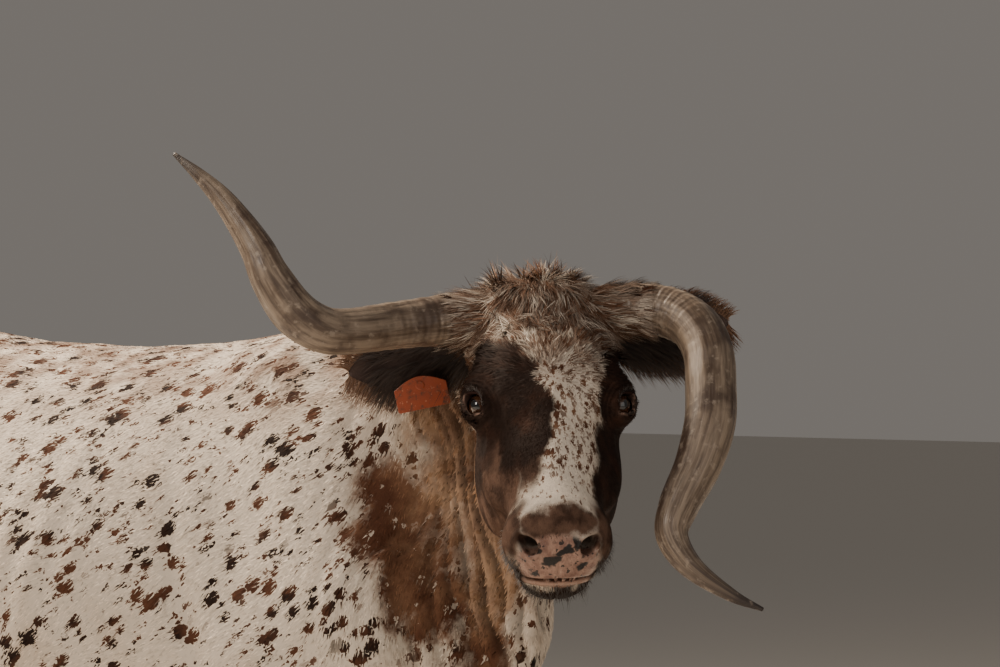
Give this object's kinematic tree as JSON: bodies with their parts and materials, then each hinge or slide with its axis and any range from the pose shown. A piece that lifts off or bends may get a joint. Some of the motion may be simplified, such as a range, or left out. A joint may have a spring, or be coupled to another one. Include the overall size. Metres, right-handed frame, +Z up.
{
  "type": "standing longhorn cow, life-size still model",
  "caption": "Life-size still longhorn cow with a speckled coat, standing, head turned to its right, long upswept and drooping horns, and an ear tag.",
  "frame": {"origin": "on the floor, under the centre of the model's outer box", "axes": "+Z up; the cow faces -Y and its left side is towards +X"},
  "size_m": [0.8096, 2.2288, 1.5125],
  "materials": {
    "coat": "short flat hair, off-white with red-brown spots",
    "long_hair": "long coarse hair",
    "horn": "satin horn with fine streaks",
    "hoof": "dull dark horn",
    "eye": "wet dark eye",
    "bare_skin": "bare pinkish skin",
    "tag": "moulded orange plastic, worn"
  },
  "bodies": {
    "root": {"neck": "coat", "forequarters": "coat", "barrel": "coat", "hindquarters": "coat", "head": "coat", "lower_jaw": "coat", "eye_right": "eye", "eye_left": "eye", "dewlap": "coat", "upper_leg_fore_right": "coat", "lower_leg_fore_right": "coat", "hoof_fore_right_outer": "hoof", "dewclaw_fore_right_outer": "hoof", "hoof_fore_right_inner": "hoof", "dewclaw_fore_right_inner": "hoof", "upper_leg_fore_left": "coat", "lower_leg_fore_left": "coat", "hoof_fore_left_outer": "hoof", "dewclaw_fore_left_outer": "hoof", "hoof_fore_left_inner": "hoof", "dewclaw_fore_left_inner": "hoof", "upper_leg_hind_right": "coat", "lower_leg_hind_right": "coat", "hoof_hind_right_outer": "hoof", "dewclaw_hind_right_outer": "hoof", "hoof_hind_right_inner": "hoof", "dewclaw_hind_right_inner": "hoof", "upper_leg_hind_left": "coat", "lower_leg_hind_left": "coat", "hoof_hind_left_outer": "hoof", "dewclaw_hind_left_outer": "hoof", "hoof_hind_left_inner": "hoof", "dewclaw_hind_left_inner": "hoof", "udder": "bare_skin", "horn_right": "horn", "horn_left": "horn", "poll": "long_hair", "ear_tag": "tag", "ear_right": "coat", "ear_left": "coat", "tail_dock": "coat", "tail_switch": "long_hair"}
  },
  "joints": []
}
